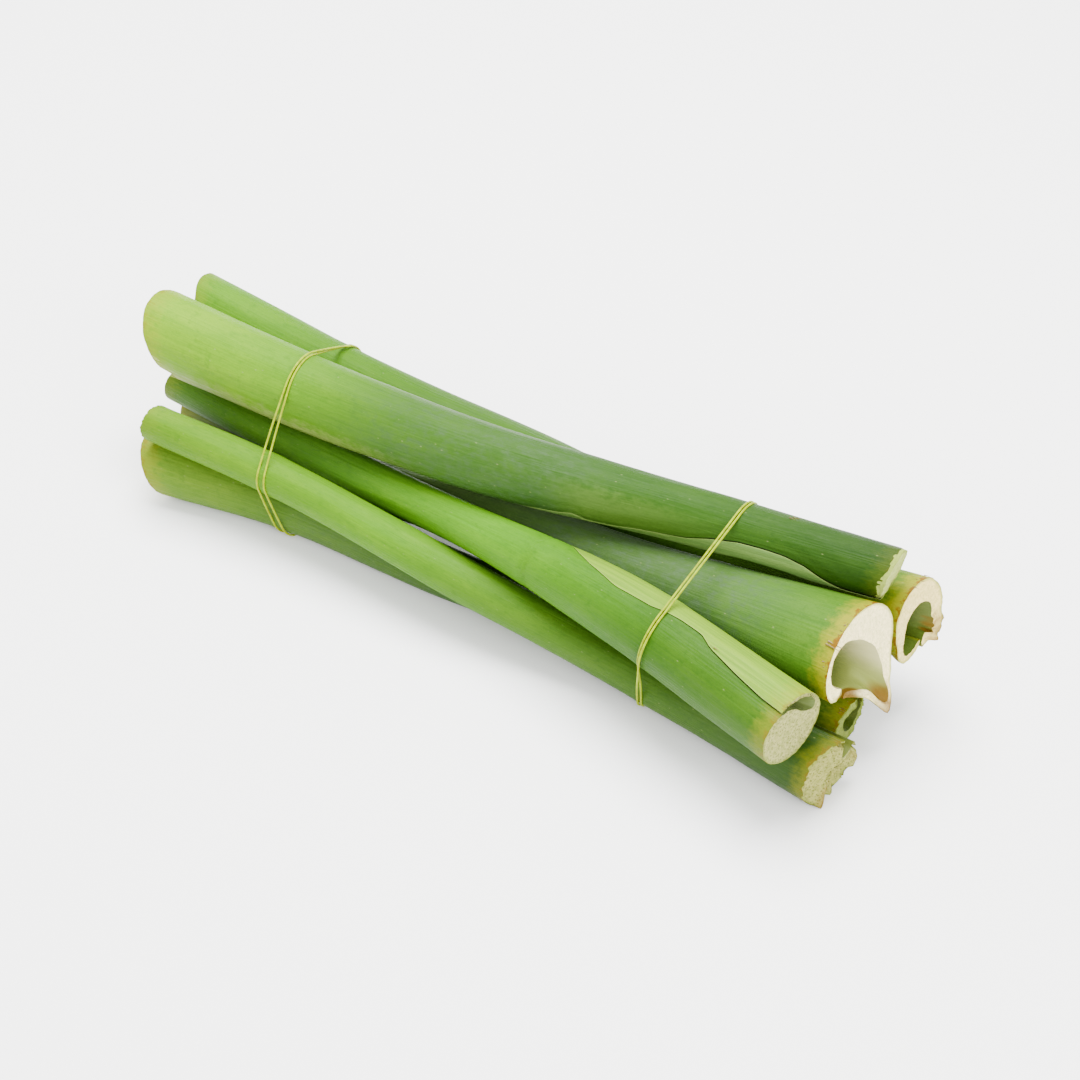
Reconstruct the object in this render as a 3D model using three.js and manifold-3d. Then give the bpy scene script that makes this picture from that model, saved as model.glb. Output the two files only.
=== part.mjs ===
// A bundle of six elephant ear stalks, lying down and held by two rubber bands.
// Millimetres, +Z up, +X along the bundle towards the thick cut ends, z = 0 is the surface it lies on.
import * as THREE from "three";
import Module from "manifold-3d";

const wasm = await Module();
wasm.setup();

// Fineness of the solids
const STALK_SIDES = 18;
const STALK_RINGS = 21;
const CHANNEL_RINGS = 7;
const BAND_SIDES = 6;
const BAND_STEPS = 44; // along one turn
const SECTION_RINGS = 100; // where a band's plane is laid through the stalks

// Driving dimensions
const GAP = 0.3; // air kept between a band and the groove it lies in
const BAND_COLOUR = 0xd9dc3c;
const STRAND = 1.3; // thickness of a rubber band's strand
const BAND_BITE = 0.4; // how deep a band presses into the skin of a stalk
const MID_HEIGHT = 45; // height at which a band's x is given
const RIDE_LENGTH = 0.09; // half the length over which one strand rides over the other, in turns

// The open sheath channel at a cut end, as shares of the stalk's half width and half height there
const CHANNEL_WIDTH = 0.7;
const CHANNEL_CEILING = 0.54;
const CHANNEL_MIDDLE = -0.2;
const SLIT_WIDTH = 0.4;
const CHANNEL_RUN_OUT = 12; // how far its cutter passes the cut end and the underside

// Each station of a route is [x, y, z, half width] or [x, y, z, half width, half height].
// leftLean and rightLean say how far a cut end leans, in mm of length for each mm of y and of z.
// A channel is the open sheath at the thick end: its length, and where its slit faces,
// in degrees from straight down towards -Y.
const STALKS = [
  {
    name: "stalk_back",
    colour: 0x6fa03c,
    route: [
      [-207, 43, 59, 16],
      [-100, 39, 53, 16],
      [0, 41.5, 48.5, 16.5],
      [100, 42.5, 41.5, 17],
      [208, 48.5, 49, 18, 22.5],
    ],
    leftLean: [-0.3, -0.4],
    rightLean: [0.2, 0],
    channel: { length: 110, faces: -15 },
  },
  {
    name: "stalk_top",
    colour: 0x7fb04a,
    route: [
      [-198, 5, 67.5, 20.5],
      [-100, 6, 66.5, 19],
      [0, 8.5, 72.5, 17],
      [100, 24.5, 75.5, 14],
      [200, 33.5, 83, 13],
    ],
    leftLean: [0, -0.6],
    rightLean: [0, 0],
  },
  {
    name: "stalk_front",
    colour: 0x78ac3e,
    route: [
      [-199, 6, 35.5, 10],
      [-100, -0.5, 35.5, 11],
      [0, -14.5, 48, 11],
      [100, -28, 53.5, 17],
      [198, -48, 50.5, 18.5],
    ],
    leftLean: [0.2, 0],
    rightLean: [0, 0],
  },
  {
    name: "stalk_low_front",
    colour: 0x74aa3a,
    route: [
      [-181, -34.5, 44, 10],
      [-100, -28.5, 38.5, 10.5],
      [0, -30.5, 31, 11],
      [100, -25.5, 18, 12],
      [212, -30, 18, 18.5],
    ],
    leftLean: [0.1, 0],
    rightLean: [0, 0],
  },
  {
    name: "stalk_bottom",
    colour: 0x5f8f35,
    route: [
      [-181, -30.5, 16.5, 17],
      [-100, -17, 14, 14.5],
      [0, -13.5, 12.5, 13],
      [100, 4, 13.5, 14],
      [198, 9, 13.5, 14],
    ],
    leftLean: [0, -0.45],
    rightLean: [0, 0],
  },
  {
    name: "stalk_middle",
    colour: 0x649a3c,
    route: [
      [-198, 16, 12.5, 13],
      [-100, 15.5, 16, 13.5],
      [0, 10.5, 33, 15],
      [100, 7, 46.5, 17],
      [203, 2, 58.5, 28, 25],
    ],
    leftLean: [0, -0.2],
    rightLean: [0, 0],
    channel: { length: 130, faces: 35 },
  },
];

// Each band lies near a plane across the bundle: at x in mid height, leaning by so much for each
// mm of y and of z, and bowed at the top and bottom. spread is half the distance between its two
// strands, crossing is where they cross, as a share of a turn from the front, and sharpness says how
// soon past there they are fully apart.
const BANDS = [
  {
    name: "rubber_band_left", x: -112.5, leanY: -0.1, leanZ: -0.08, bow: 2.4,
    spread: 2.6, crossing: 0.7, sharpness: 0.5,
  },
  {
    name: "rubber_band_right", x: 118.5, leanY: 0, leanZ: 0.16, bow: -0.8,
    spread: 0.8, crossing: 0.05, sharpness: 8,
  },
];

// Places along a stalk's smooth route: the centre, the directions there and the half sizes.
function placesAlong(stalk, count) {
  const centres = stalk.route.map(([x, y, z]) => new THREE.Vector3(x, y, z));
  const halves = stalk.route.map(([, , , wide, high = wide]) => new THREE.Vector3(wide, high, 0));
  const path = new THREE.CatmullRomCurve3(centres, false, "catmullrom");
  const sizes = new THREE.CatmullRomCurve3(halves, false, "catmullrom");
  return Array.from({ length: count }, (_, i) => {
    const share = i / (count - 1);
    const along = path.getTangent(share);
    const side = new THREE.Vector3(0, 1, 0).addScaledVector(along, -along.y).normalize();
    const up = along.clone().cross(side);
    const { x: wide, y: high } = sizes.getPoint(share);
    return { centre: path.getPoint(share), along, side, up, wide, high };
  });
}

// A ring of points round a place, from a convex outline of [side, up] pairs, counter-clockwise.
function ringAt(place, outline) {
  return outline.map(([u, v]) =>
    place.centre.clone().addScaledVector(place.side, u).addScaledVector(place.up, v));
}

function ellipse(wide, high, sides) {
  return Array.from({ length: sides }, (_, k) => {
    const angle = (2 * Math.PI * k) / sides;
    return [wide * Math.cos(angle), high * Math.sin(angle)];
  });
}

// A closed mesh over a row of rings, capped at both ends, or joined up when the row goes round.
function skin(rings, goesRound = false) {
  const sides = rings[0].length;
  const index = [];
  const spans = goesRound ? rings.length : rings.length - 1;
  for (let i = 0; i < spans; i++) {
    const here = i * sides;
    const next = ((i + 1) % rings.length) * sides;
    for (let k = 0; k < sides; k++) {
      const m = (k + 1) % sides;
      index.push(here + k, here + m, next + m, here + k, next + m, next + k);
    }
  }
  if (!goesRound) {
    const last = (rings.length - 1) * sides;
    for (let k = 1; k < sides - 1; k++) {
      index.push(0, k + 1, k, last, last + k, last + k + 1);
    }
  }
  return new THREE.BufferGeometry().setFromPoints(rings.flat()).setIndex(index);
}

function toSolid(geometry) {
  const vertProperties = new Float32Array(geometry.getAttribute("position").array);
  const triVerts = new Uint32Array(geometry.getIndex().array);
  return new wasm.Manifold(new wasm.Mesh({ numProp: 3, vertProperties, triVerts }));
}

function toGeometry(solid) {
  const { vertProperties, triVerts } = solid.getMesh();
  return new THREE.BufferGeometry()
    .setAttribute("position", new THREE.BufferAttribute(vertProperties, 3))
    .setIndex(new THREE.BufferAttribute(triVerts, 1));
}

// The outer skin of a stalk. The cut ends lean, and the underside is pressed flat where it lies.
function stalkSkin(stalk, count, sides, grow = 0) {
  const places = placesAlong(stalk, count);
  const ends = [
    { place: places[0], lean: stalk.leftLean },
    { place: places.at(-1), lean: stalk.rightLean },
  ];
  return places.map((place) => {
    const ring = ringAt(place, ellipse(place.wide + grow, place.high + grow, sides));
    for (const point of ring) {
      for (const { place: end, lean } of ends) {
        const fade = Math.max(0, 1 - place.centre.distanceTo(end.centre) / (3 * end.wide));
        const [leanY, leanZ] = lean;
        const shift = leanY * (point.y - place.centre.y) + leanZ * (point.z - place.centre.z);
        point.addScaledVector(place.along, fade * shift);
      }
      point.z = Math.max(point.z, 0);
    }
    return ring;
  });
}

// The cutter of an open sheath: an arch over a slit, which grows from nothing to the cut end.
function channelCutter(stalk) {
  const { length, faces } = stalk.channel;
  const places = placesAlong(stalk, SECTION_RINGS);
  const mouth = places.at(-1);
  const inside = places.filter((place) => place.centre.distanceTo(mouth.centre) < length);
  const step = Math.ceil(inside.length / CHANNEL_RINGS);
  const kept = inside.filter((_, i) => (inside.length - 1 - i) % step === 0);
  const start = kept[0].centre;
  const turn = new THREE.Matrix4();
  const rings = kept.map((place) => {
    const open = place.centre.distanceTo(start) / mouth.centre.distanceTo(start);
    const wide = place.wide * CHANNEL_WIDTH * THREE.MathUtils.lerp(0.3, 1, open);
    const ceiling = place.high * THREE.MathUtils.lerp(-1.02, CHANNEL_CEILING, open);
    const middle = place.high * THREE.MathUtils.lerp(-1.1, CHANNEL_MIDDLE, open);
    const foot = -place.high - CHANNEL_RUN_OUT;
    const arch = Array.from({ length: 9 }, (_, k) => {
      const angle = (Math.PI * k) / 8;
      return [wide * Math.cos(angle), middle + (ceiling - middle) * Math.sin(angle)];
    });
    const slit = place.wide * SLIT_WIDTH * THREE.MathUtils.lerp(0.3, 1, open);
    const outline = [...arch, [-slit, foot], [slit, foot]];
    turn.makeRotationAxis(place.along, THREE.MathUtils.degToRad(-faces));
    const turned = { ...place, side: place.side.clone().applyMatrix4(turn), up: place.up.clone().applyMatrix4(turn) };
    return ringAt(turned, outline);
  });
  const beyond = rings.at(-1).map((point) => point.clone().addScaledVector(mouth.along, CHANNEL_RUN_OUT));
  return skin([...rings, beyond]);
}

// x of a band's plane at a height and a distance across the bundle
function bandPlane(band, y, z) {
  const rise = z - MID_HEIGHT;
  return band.x + band.leanY * y + band.leanZ * rise + band.bow * (rise / MID_HEIGHT) ** 2;
}

// Where a band's plane cuts the stalks, each grown by half a strand less the bite
function sectionPoints(band) {
  const points = [];
  for (const stalk of STALKS) {
    const rings = stalkSkin(stalk, SECTION_RINGS, 2 * STALK_SIDES, STRAND / 2 - BAND_BITE);
    for (let i = 1; i < rings.length; i++) {
      rings[i].forEach((point, k) => {
        const before = rings[i - 1][k];
        const a = before.x - bandPlane(band, before.y, before.z);
        const b = point.x - bandPlane(band, point.y, point.z);
        if (a < 0 && b >= 0) {
          const at = before.clone().lerp(point, a / (a - b));
          points.push(new THREE.Vector2(at.y, Math.max(at.z, STRAND / 2 + GAP / 2)));
        }
      });
    }
  }
  return points;
}

// The tight outline round a set of points, counter-clockwise
function hull(points) {
  const sorted = [...points].sort((p, q) => p.x - q.x || p.y - q.y);
  const chain = (list) => {
    const kept = [];
    for (const p of list) {
      while (kept.length > 1) {
        const [a, b] = kept.slice(-2);
        if (b.clone().sub(a).cross(p.clone().sub(b)) > 0) break;
        kept.pop();
      }
      kept.push(p);
    }
    return kept.slice(0, -1);
  };
  return [...chain(sorted), ...chain(sorted.reverse())];
}

// Places round one turn of a band, evenly spaced: side points away from the stalks
function placesRound(band) {
  const outline = hull(sectionPoints(band));
  const path = new THREE.Path().setFromPoints([...outline, outline[0]]);
  const flat = path.getSpacedPoints(BAND_STEPS).slice(0, -1);
  const centres = flat.map((p) => new THREE.Vector3(bandPlane(band, p.x, p.y), p.x, p.y));
  return centres.map((centre, i) => {
    const before = centres.at(i - 1);
    const after = centres[(i + 1) % centres.length];
    const along = after.clone().sub(before).normalize();
    const side = along.clone().cross(new THREE.Vector3(1, 0, 0)).normalize();
    return { centre, along, side, up: along.clone().cross(side) };
  });
}

// One endless strand that goes round twice, its two turns side by side until they cross
function bandSkin(band) {
  const round = placesRound(band);
  const rings = Array.from({ length: 2 * BAND_STEPS }, (_, i) => {
    const place = round[i % BAND_STEPS];
    const past = ((i / BAND_STEPS - band.crossing + 1) % 2) - 1;
    const apart = Math.tanh(band.sharpness * Math.sin(Math.PI * past)) / Math.tanh(band.sharpness);
    const beside = band.spread * apart;
    const over = (STRAND + GAP) * Math.exp(-((past / RIDE_LENGTH) ** 4));
    const centre = place.centre.clone().addScaledVector(place.up, beside).addScaledVector(place.side, over);
    return ringAt({ ...place, centre }, ellipse(STRAND / 2, STRAND / 2, BAND_SIDES));
  });
  return skin(rings, true);
}

// The shallow groove that both strands press into the stalks
function grooveCutter(band) {
  const deep = STRAND / 2 + GAP;
  const wide = band.spread + STRAND / 2 + GAP;
  const outline = [[deep, -wide], [deep, wide], [-deep, wide], [-deep, -wide]];
  return skin(placesRound(band).map((place) => ringAt(place, outline)), true);
}

const grooves = BANDS.map((band) => toSolid(grooveCutter(band)));
const bundle = new THREE.Group();

for (const stalk of STALKS) {
  let solid = toSolid(skin(stalkSkin(stalk, STALK_RINGS, STALK_SIDES)));
  if (stalk.channel) solid = solid.subtract(toSolid(channelCutter(stalk)));
  for (const groove of grooves) solid = solid.subtract(groove);
  const finish = new THREE.MeshStandardMaterial({ color: stalk.colour, roughness: 0.5, metalness: 0 });
  const mesh = new THREE.Mesh(toGeometry(solid), finish);
  mesh.name = stalk.name;
  bundle.add(mesh);
}

for (const band of BANDS) {
  const rubber = new THREE.MeshStandardMaterial({ color: BAND_COLOUR, roughness: 0.4, metalness: 0 });
  const mesh = new THREE.Mesh(bandSkin(band), rubber);
  mesh.name = band.name;
  bundle.add(mesh);
}

export default bundle;
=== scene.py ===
# A bundle of six cut elephant ear stalks, lying on a pale floor and held by two yellow rubber bands.
import math

import bpy
import numpy as np
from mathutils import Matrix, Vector
from mathutils.geometry import convex_hull_2d


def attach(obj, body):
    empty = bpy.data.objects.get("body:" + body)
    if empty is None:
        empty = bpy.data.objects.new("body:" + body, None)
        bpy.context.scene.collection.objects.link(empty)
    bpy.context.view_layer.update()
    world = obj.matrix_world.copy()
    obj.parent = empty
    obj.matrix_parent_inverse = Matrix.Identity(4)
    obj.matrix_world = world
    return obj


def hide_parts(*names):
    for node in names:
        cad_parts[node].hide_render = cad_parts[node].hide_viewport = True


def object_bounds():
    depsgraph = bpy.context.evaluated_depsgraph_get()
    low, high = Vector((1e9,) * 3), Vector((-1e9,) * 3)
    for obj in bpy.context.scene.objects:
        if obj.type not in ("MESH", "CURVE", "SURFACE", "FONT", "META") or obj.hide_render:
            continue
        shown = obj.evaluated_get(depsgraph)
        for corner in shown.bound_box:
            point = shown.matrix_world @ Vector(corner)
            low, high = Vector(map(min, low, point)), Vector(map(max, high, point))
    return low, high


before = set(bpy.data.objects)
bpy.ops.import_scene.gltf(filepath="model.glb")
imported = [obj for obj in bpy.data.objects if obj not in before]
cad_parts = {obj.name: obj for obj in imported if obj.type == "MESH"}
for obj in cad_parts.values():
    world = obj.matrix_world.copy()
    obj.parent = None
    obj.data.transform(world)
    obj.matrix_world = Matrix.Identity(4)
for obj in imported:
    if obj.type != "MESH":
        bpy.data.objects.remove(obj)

MM = 0.001
CAD_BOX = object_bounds()
CHANCE = np.random.default_rng(7)

# Fineness of the skins
COARSE, NEAR_BAND, NEAR_CUT = 3.0, 1.0, 0.6    # mm between rings
BAND_REACH, CUT_REACH = 7.0, 15.0              # mm from a band or a cut within which rings are closer
ROUND = 96            # points along the outer outline, and as many along the sheath's inner one
FACE_ROWS = 14        # rows of points across a cut face, and round the edge of a sheath wing
TIP = FACE_ROWS - 1
SHARP_ANGLE = 55      # degrees past which an edge between two faces stays sharp

# Skins, in mm
FIT = 0.985           # share of the CAD section, so that the skin stays within the CAD solid's facets
SUNK = 0.25           # how far the skin lies inside that section besides
UNEVENNESS = 0.4      # share of the swells and ribs in ripple()
CALM_REACH = 6.0      # how far from a band its pull evens the skin out
ABOVE_FLOOR = 0.1
BOX_MARGIN = 0.05     # air kept to the CAD model's box
LAP_LENGTH = 16.0     # over which a sheath edge grows to its full thickness
LEAST_LAP = 0.06      # share of its full opening that a sheath has as soon as its edge is grown
TEAR_LENGTH = 12.0    # over which a torn prong rises from its cut
RAGGED_LENGTH = 6.0   # over which a skin follows the tears of its cut
LEFT_RAGGED = 0.35    # how ragged the left cuts are, as a share of the right ones
TORN_TEETH = 19       # round a peeled edge
PEELED_DEPTH = 0.35
PORES = 260           # dents in each cut face
GRAIN_RADIUS = 15.0   # of the round coordinates that the skins' patterns follow

# Rubber bands. Each lies near a plane across the bundle: at x in mid height, leaning by so much for
# each mm of y and of z, and bowed at the top and bottom. spread is half the distance between its two
# turns, crossing is where they cross, in turns, and sharpness says how soon they are apart.
STRAND = 1.08         # mm thick
BITE = 0.4            # mm that a strand presses into the skins
STRAND_AIR = 0.15     # mm between two crossing strands, and between a strand and the floor
MID_HEIGHT = 45.0
STRAND_STEPS = 150
RIDE_LENGTH = 0.09    # half the length over which one turn rides over the other, in turns
BANDS = {
    "rubber_band_left": dict(
        x=-112.5, lean_y=-0.1, lean_z=-0.08, bow=2.4, spread=2.6, crossing=0.7, sharpness=0.5),
    "rubber_band_right": dict(
        x=118.5, lean_y=0.0, lean_z=0.16, bow=-0.8, spread=0.8, crossing=0.05, sharpness=8.0),
}

# Stalks. A route has the CAD stations, in mm: x, y, z, half width and half height.
# left_lean and right_lean are the slants of the cuts, in mm along the stalk per mm sideways and upwards.
# A sheath is the open side of a stalk. outer runs counter-clockwise from one edge of the opening to
# the other, and inner comes back along the inside, both as (degrees from +Y towards +Z, share of the
# radius). start is the x where the opening begins, and turns shifts it round along the stalk.
# prongs are torn pieces at the right cut: degrees, half width in degrees, length along the stalk and
# splay across it in mm, and how dry the tip is. ragged is the height of the tears in mm, dish is how
# far the flesh sinks in, and pores how deep its holes are.
# peel is the skin torn off at the right cut: its length, and that of its teeth. set_back is a part of
# the left cut, between two angles, that ends further in by some mm.
# wing is the free edge of a sheath that shows its paler inside: its reach in degrees, and whether it
# is the last edge of outer.
STALKS = {
    "stalk_back": dict(
        slot="green_stalk",
        route=[(-207, 43, 59, 16, 16), (-100, 39, 53, 16, 16), (0, 41.5, 48.5, 16.5, 16.5),
               (100, 42.5, 41.5, 17, 17), (208, 48.5, 49, 18, 22.5)],
        left_lean=(-0.3, -0.4), right_lean=(0.2, 0.0),
        sheath=dict(
            start=85, power=1.1, turns=[(80, -36), (210, -36)],
            outer=[(328, 0.9), (0, 0.95), (26, 0.97), (57, 0.98), (92, 1), (118, 1), (150, 1), (184, 1),
                   (217, 0.98), (247, 0.95), (275, 0.87), (298, 0.74), (312, 0.6)],
            inner=[(300, 0.55), (280, 0.66), (258, 0.72), (232, 0.66), (198, 0.54), (163, 0.46), (128, 0.44),
                   (96, 0.46), (62, 0.5), (22, 0.5), (338, 0.52), (318, 0.7)]),
        prongs=[(316, 9, 3.0, 1.0, 0.8), (302, 5, 2.0, 4.5, 1.0), (333, 7, 1.6, 0.5, 0.6),
                (236, 24, 0.5, 3.5, 0.0)],
        ragged=0.4, dish=0.5),
    "stalk_top": dict(
        slot="pale_stalk",
        route=[(-198, 5, 67.5, 20.5, 20.5), (-100, 6, 66.5, 19, 19), (0, 8.5, 72.5, 17, 17),
               (100, 24.5, 75.5, 14, 14), (200, 33.5, 83, 13, 13)],
        left_lean=(0.0, -0.6), right_lean=(0.0, 0.3), set_back=(202, 300, 6.5),
        sheath=dict(
            start=14, power=3.0,
            turns=[(0, 34), (24, 26), (38, 17), (46, 7), (52, 24), (64, 23), (74, 13), (90, 6),
                   (102, 0), (116, -17), (128, -25), (142, -26), (152, -24), (162, -14), (172, 8),
                   (182, 30), (205, 34)],
            outer=[(192, 1.02), (200, 1.03), (216, 1.03), (240, 1.02), (275, 1), (315, 1), (355, 1),
                   (35, 1), (75, 1), (115, 1), (150, 0.99), (175, 0.965), (188, 0.95)],
            inner=[(191, 0.944), (196, 0.942), (203, 0.944), (210, 0.95), (214, 0.962), (212, 0.974),
                   (206, 0.98), (199, 0.98), (194, 0.982)]),
        prongs=[], ragged=0.5, dish=0.3, peel=(1.2, 3.0), wing=(44, False)),
    "stalk_front": dict(
        slot="green_stalk",
        route=[(-199, 6, 35.5, 10, 10), (-100, -0.5, 35.5, 11, 11), (0, -14.5, 48, 11, 11),
               (100, -28, 53.5, 17, 17), (198, -48, 50.5, 18.5, 18.5)],
        left_lean=(0.2, 0.0), right_lean=(0.0, 0.0),
        sheath=dict(
            start=50, power=5.0,
            turns=[(45, -72), (58, -66), (66, -46), (75, -32), (94, -16), (115, -18), (130, -27),
                   (143, -27), (151, -16), (168, -7), (185, -1), (200, 0)],
            outer=[(119, 0.93), (138, 0.97), (165, 1), (200, 1), (235, 1), (270, 1), (305, 1), (340, 1),
                   (5, 1.01), (30, 1.02), (55, 1.03), (80, 1.03), (100, 1.02), (117, 1.0)],
            inner=[(113, 0.93), (98, 0.92), (75, 0.92), (50, 0.93), (30, 0.9), (20, 0.8), (25, 0.67),
                   (42, 0.55), (63, 0.55), (84, 0.66), (102, 0.79), (117, 0.87)]),
        prongs=[], ragged=0.35, dish=0.6, pores=1.1, wing=(95, True)),
    "stalk_low_front": dict(
        slot="green_stalk",
        route=[(-181, -34.5, 44, 10, 10), (-100, -28.5, 38.5, 10.5, 10.5), (0, -30.5, 31, 11, 11),
               (100, -25.5, 18, 12, 12), (212, -30, 18, 18.5, 18.5)],
        left_lean=(0.1, 0.0), right_lean=(0.25, 0.05),
        sheath=dict(
            start=165, power=1.0, turns=[(150, 0), (215, 0)],
            outer=[(72, 0.95), (95, 0.98), (130, 1), (165, 1), (200, 1), (235, 1), (270, 1), (305, 1),
                   (340, 0.98), (5, 0.97), (28, 0.95)],
            inner=[(33, 0.86), (30, 0.74), (34, 0.58), (44, 0.46), (56, 0.44), (64, 0.52), (68, 0.66),
                   (70, 0.8)]),
        prongs=[(300, 22, -4.0, 0, 0), (268, 7, -5.0, 0, 0), (322, 8, -4.0, 2, 0), (344, 9, -1.0, 2.0, 0.3),
                (8, 7, -6.0, 0, 0), (250, 9, 2.0, 1.5, 0.8)],
        ragged=1.5, dish=2.4, pores=1.8),
    "stalk_bottom": dict(
        slot="green_stalk",
        route=[(-181, -30.5, 16.5, 17, 17), (-100, -17, 14, 14.5, 14.5), (0, -13.5, 12.5, 13, 13),
               (100, 4, 13.5, 14, 14), (198, 9, 13.5, 14, 14)],
        left_lean=(0.0, -0.45), right_lean=(0.0, 0.0),
        sheath=dict(
            start=150, power=1.2, turns=[(140, 0), (205, 0)],
            outer=[(40, 0.97), (70, 1), (105, 1), (140, 1), (175, 1), (210, 1), (245, 1), (280, 1),
                   (315, 1), (345, 0.98), (8, 0.95)],
            inner=[(5, 0.8), (350, 0.7), (320, 0.6), (270, 0.55), (210, 0.55), (160, 0.58), (115, 0.62),
                   (75, 0.7), (48, 0.82)]),
        prongs=[(100, 30, 3.0, 0, 0), (45, 9, 1.5, 2.0, 0.5)], ragged=0.9, dish=0.6),
    "stalk_middle": dict(
        slot="green_stalk",
        route=[(-198, 16, 12.5, 13, 13), (-100, 15.5, 16, 13.5, 13.5), (0, 10.5, 33, 15, 15),
               (100, 7, 46.5, 17, 17), (203, 2, 58.5, 28, 25)],
        left_lean=(0.0, -0.2), right_lean=(0.0, 0.0),
        sheath=dict(
            start=70, power=1.3, turns=[(60, 0), (210, 0)],
            outer=[(260, 1.0), (283, 1.06), (308, 1.03), (341, 0.98), (9, 1), (35, 1), (62, 1), (94, 1),
                   (126, 1), (156, 1), (182, 1), (201, 0.98), (212, 0.88)],
            inner=[(205, 0.66), (194, 0.74), (178, 0.84), (160, 0.88), (142, 0.88), (122, 0.74),
                   (98, 0.46), (42, 0.3), (345, 0.46), (316, 0.6), (297, 0.68), (277, 0.8),
                   (262, 0.89)]),
        prongs=[(302, 26, 5.0, 0, 0), (291, 8.0, 2.5, 17.0, 1.0), (260, 14, -7.0, 0, 1.0)],
        ragged=0.28, dish=0.9),
}


def linked(name, data):
    """A new object in the scene."""
    made = bpy.data.objects.new(name, data)
    bpy.context.collection.objects.link(made)
    return made


def smooth(value):
    """An even rise from 0 to 1, level at both ends."""
    value = np.clip(value, 0.0, 1.0)
    return value * value * (3 - 2 * value)


# ---- routes and outlines

def curve_weights(count, shares):
    """Weights of each control point on a smooth open curve, for places given as shares of it."""
    spans = count - 1
    place = np.clip(shares, 0, 1) * spans
    first = np.minimum(place.astype(int), spans - 1)
    f = place - first
    basis = 0.5 * np.stack([
        -f + 2 * f**2 - f**3, 2 - 5 * f**2 + 3 * f**3, f + 4 * f**2 - 3 * f**3, -f**2 + f**3], axis=1)
    weights = np.zeros((len(shares), count + 2))
    for k in range(4):
        weights[np.arange(len(shares)), first + k] += basis[:, k]
    inner = weights[:, 1:-1].copy()
    inner[:, 0] += 2 * weights[:, 0]
    inner[:, 1] -= weights[:, 0]
    inner[:, -1] += 2 * weights[:, -1]
    inner[:, -2] -= weights[:, -1]
    return inner


def unit(vectors):
    """The same directions, one long."""
    return vectors / np.linalg.norm(vectors, axis=-1, keepdims=True)


class Places:
    """Rings' places along a stalk: centre, directions, and half sizes, all in mm."""

    def __init__(self, route, xs=None, count=400):
        route = np.array(route, float)
        shares = np.linspace(0, 1, count)
        if xs is not None:
            fine = np.linspace(0, 1, 4001)
            fine_x = curve_weights(len(route), fine) @ route[:, 0]
            shares = np.interp(xs, fine_x, fine)
        values = curve_weights(len(route), shares) @ route
        self.centre, self.wide, self.high = values[:, :3], values[:, 3], values[:, 4]
        step = 1e-4
        ahead = curve_weights(len(route), np.minimum(shares + step, 1)) @ route[:, :3]
        behind = curve_weights(len(route), np.maximum(shares - step, 0)) @ route[:, :3]
        self.along = unit(ahead - behind)
        across = np.array([0.0, 1.0, 0.0]) - self.along * self.along[:, 1:2]
        self.side = unit(across)
        self.up = np.cross(self.along, self.side)

    def picked(self, ring):
        """The place of one ring alone."""
        one = object.__new__(Places)
        one.__dict__ = {key: value[ring:ring + 1] for key, value in self.__dict__.items()}
        return one

    def ring_points(self, flat):
        """Points from outlines of (side, up) pairs in mm, one outline for each ring."""
        return (self.centre[:, None] + self.side[:, None] * flat[..., :1] + self.up[:, None] * flat[..., 1:])


def ring_stations(route):
    """x of each ring: close together near the cuts and the bands."""
    x, last = route[0][0], route[-1][0]
    stations = [x]
    while x < last:
        near_cut = min(x - route[0][0], last - x) < CUT_REACH
        near_band = min(abs(x - band["x"]) for band in BANDS.values()) < BAND_REACH
        x += NEAR_CUT if near_cut else NEAR_BAND if near_band else COARSE
        stations.append(min(x, last))
    return np.array(stations)


def polar(pairs):
    """Angles in radians, without jumps, and radii of an outline."""
    degrees, shares = np.array(pairs, float).T
    return np.unwrap(np.radians(degrees)), shares


def row_shares():
    """How far across a wall each row of points lies, closer together near the skin."""
    return 0.5 - 0.5 * np.cos(math.pi * np.arange(1, FACE_ROWS) / FACE_ROWS)


def arc_steps():
    """Shares of the outer outline at which its points lie, closer together near the wings' edges."""
    even = np.linspace(0, 1, ROUND)
    return 0.4 * even + 0.6 * (0.5 - 0.5 * np.cos(math.pi * even))


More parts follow.
